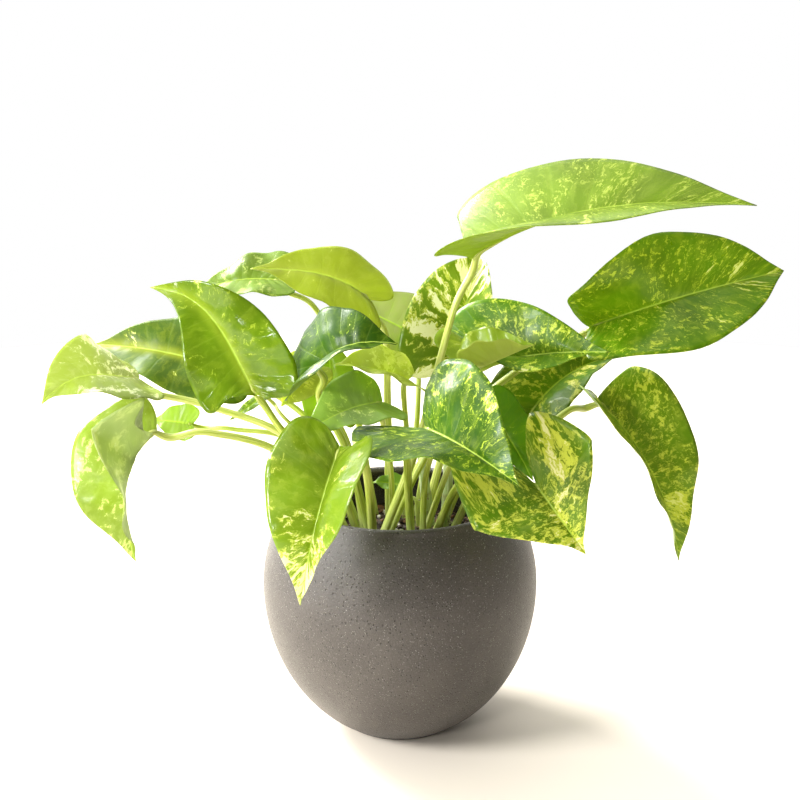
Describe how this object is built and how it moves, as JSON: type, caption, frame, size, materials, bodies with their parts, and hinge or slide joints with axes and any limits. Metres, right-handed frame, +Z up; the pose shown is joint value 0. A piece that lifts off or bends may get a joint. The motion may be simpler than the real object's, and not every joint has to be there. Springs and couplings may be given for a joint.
{
  "type": "potted pothos plant",
  "caption": "Bushy pothos with green and cream heart-shaped leaves on long arching stalks, growing in a round matte stoneware pot that stands on a flat foot.",
  "frame": {"origin": "centre of the pot's flat foot, on the surface that it stands on", "axes": "+Z up, out of the pot's mouth; -Y is the front that is seen first; +X to the right seen from the front, along the plant's longest spread"},
  "size_m": [0.3832, 0.1852, 0.3079],
  "materials": {
    "stoneware": "matte",
    "potting_mix": "matte",
    "leaf_blade": "satin",
    "leaf_stalk": "satin",
    "vine_skin": "satin"
  },
  "bodies": {
    "root": {"leaf_back_grey_green": "leaf_blade", "leaf_back_olive": "leaf_blade", "leaf_front_behind": "leaf_blade", "leaf_front_hanging": "leaf_blade", "leaf_front_middle": "leaf_blade", "leaf_left_back": "leaf_blade", "leaf_left_centre": "leaf_blade", "leaf_left_curled_back": "leaf_blade", "leaf_left_far": "leaf_blade", "leaf_left_hanging": "leaf_blade", "leaf_left_narrow": "leaf_blade", "leaf_left_small_mottled": "leaf_blade", "leaf_middle_dark": "leaf_blade", "leaf_middle_lime": "leaf_blade", "leaf_middle_small": "leaf_blade", "leaf_mouth_young": "leaf_blade", "leaf_right_back": "leaf_blade", "leaf_right_big": "leaf_blade", "leaf_right_cupped": "leaf_blade", "leaf_right_front": "leaf_blade", "leaf_right_hanging": "leaf_blade", "leaf_right_middle": "leaf_blade", "leaf_top_left": "leaf_blade", "leaf_top_left_back": "leaf_blade", "leaf_top_right": "leaf_blade", "leaf_upright_streaked": "leaf_blade", "petiole_back_grey_green": "leaf_stalk", "petiole_back_olive": "leaf_stalk", "petiole_front_behind": "leaf_stalk", "petiole_front_hanging": "leaf_stalk", "petiole_front_middle": "leaf_stalk", "petiole_left_back": "leaf_stalk", "petiole_left_centre": "leaf_stalk", "petiole_left_curled_back": "leaf_stalk", "petiole_left_far": "leaf_stalk", "petiole_left_hanging": "leaf_stalk", "petiole_left_narrow": "leaf_stalk", "petiole_left_small_mottled": "leaf_stalk", "petiole_middle_dark": "leaf_stalk", "petiole_middle_lime": "leaf_stalk", "petiole_middle_small": "leaf_stalk", "petiole_mouth_young": "leaf_stalk", "petiole_right_back": "leaf_stalk", "petiole_right_big": "leaf_stalk", "petiole_right_cupped": "leaf_stalk", "petiole_right_front": "leaf_stalk", "petiole_right_hanging": "leaf_stalk", "petiole_right_middle": "leaf_stalk", "petiole_top_left": "leaf_stalk", "petiole_top_left_back": "leaf_stalk", "petiole_top_right": "leaf_stalk", "petiole_upright_streaked": "leaf_stalk", "pot": "stoneware", "potting_soil": "potting_mix", "vine_left": "vine_skin", "vine_right": "vine_skin"}
  },
  "joints": []
}
